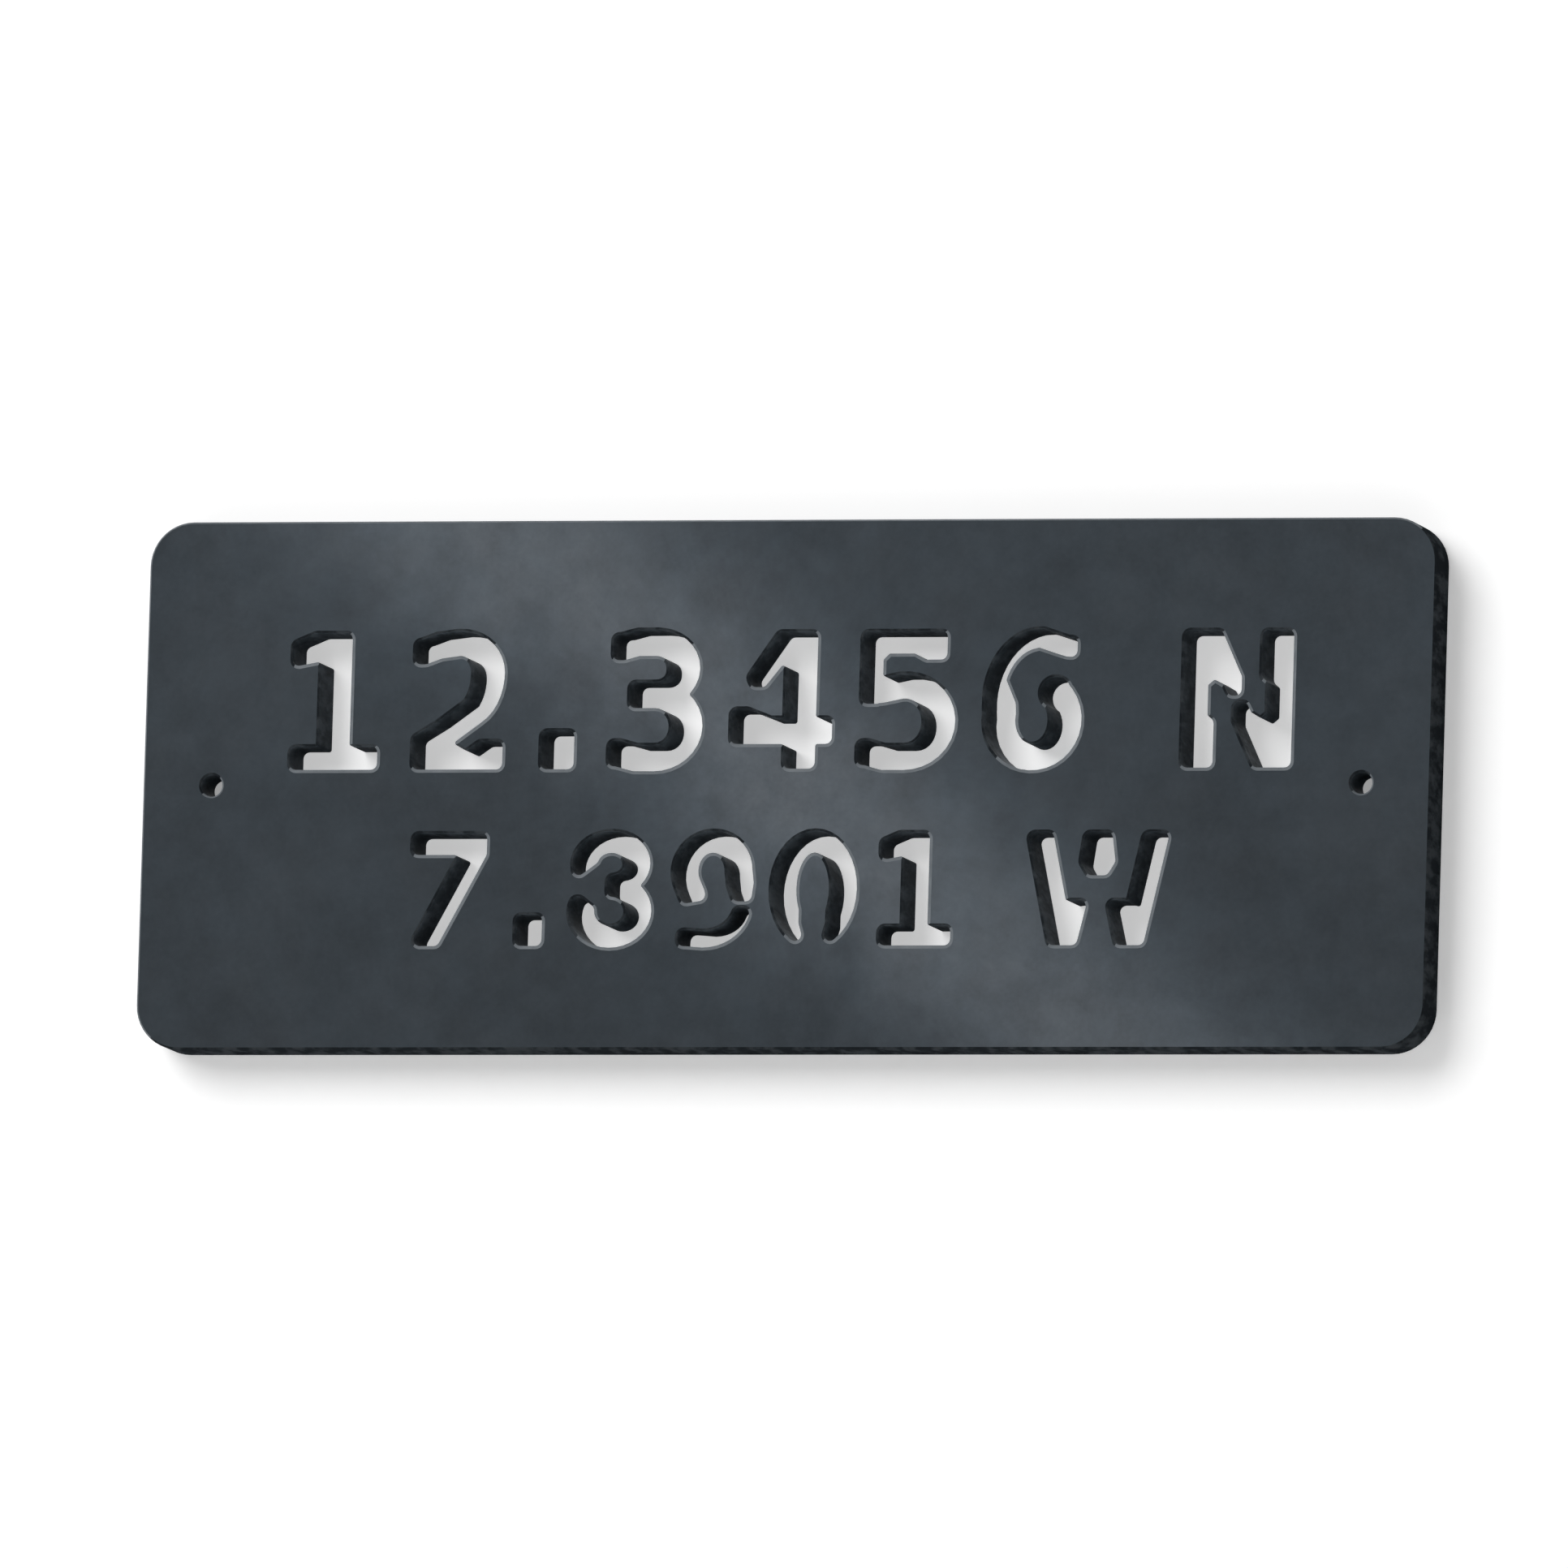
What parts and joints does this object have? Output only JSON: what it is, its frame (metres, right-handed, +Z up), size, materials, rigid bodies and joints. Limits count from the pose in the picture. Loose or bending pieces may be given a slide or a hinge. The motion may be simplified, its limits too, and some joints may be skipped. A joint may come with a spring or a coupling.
{
  "type": "coordinates plaque",
  "caption": "Flat steel wall plaque with rounded corners, two rows of through-cut stencil numerals and compass letters, and a screw hole near each end.",
  "frame": {"origin": "middle of the plate's flat back face, which lies against the wall", "axes": "+X along the plate's length, to the right as its rows are read; +Z up the wall; -Y out of the wall, towards the reader"},
  "size_m": [0.3, 0.012, 0.12],
  "materials": {
    "mill_steel": "satin"
  },
  "bodies": {
    "root": {"plate": "mill_steel"}
  },
  "joints": []
}
